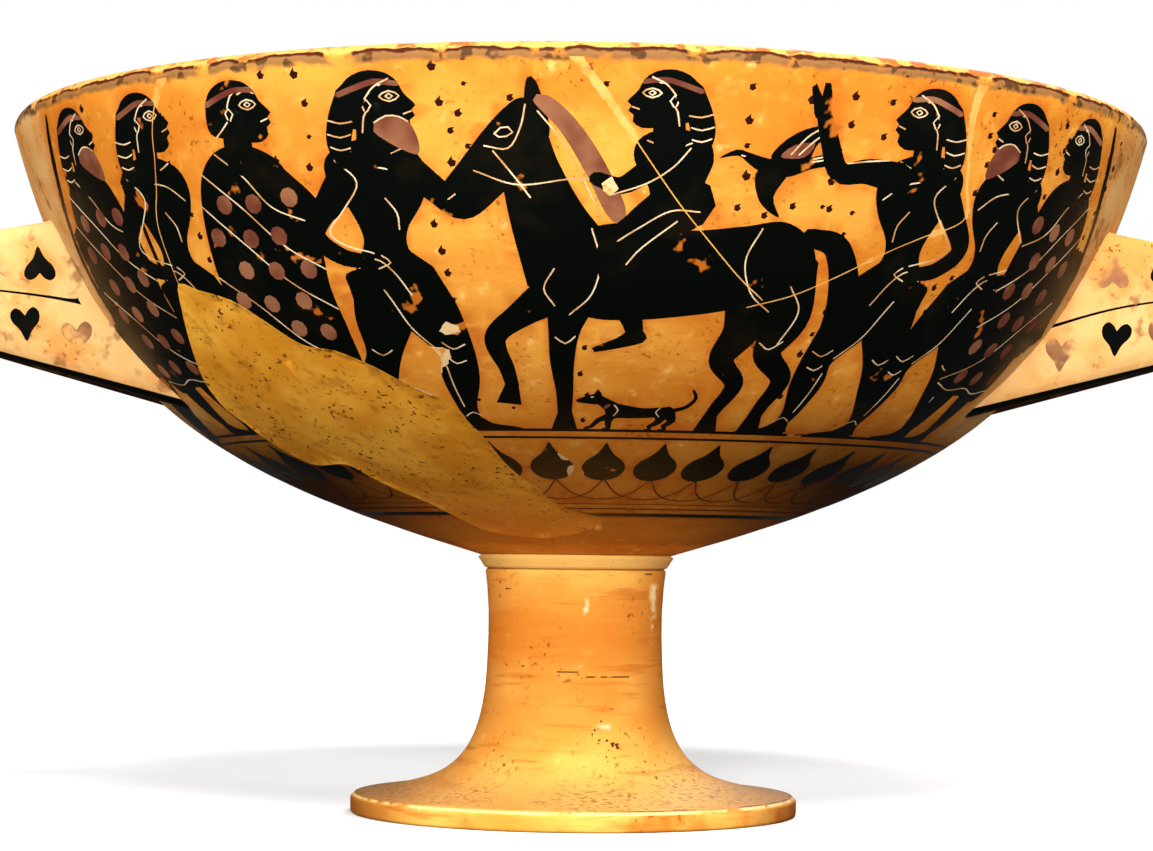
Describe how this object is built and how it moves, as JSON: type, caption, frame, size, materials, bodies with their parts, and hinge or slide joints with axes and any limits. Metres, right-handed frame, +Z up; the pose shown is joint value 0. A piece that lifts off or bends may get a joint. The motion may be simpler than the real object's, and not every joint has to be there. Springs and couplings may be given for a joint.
{
  "type": "stemmed drinking cup with two handles",
  "caption": "Ancient Greek stemmed cup: wide shallow bowl on a ringed stem and flared foot, with broad wishbone strap handles at the sides, in painted fired clay.",
  "frame": {"origin": "centre of the foot's underside, on the surface the cup stands on", "axes": "+Z up along the cup's turning axis, +X through the two handles, -Y towards the painted front"},
  "size_m": [0.2988, 0.2174, 0.131],
  "materials": {
    "painted_clay": "smooth low-gloss orange fired clay with glossy black painted figures and ornament, worn, with plaster repairs"
  },
  "bodies": {
    "root": {"kylix_cup": "painted_clay"}
  },
  "joints": []
}
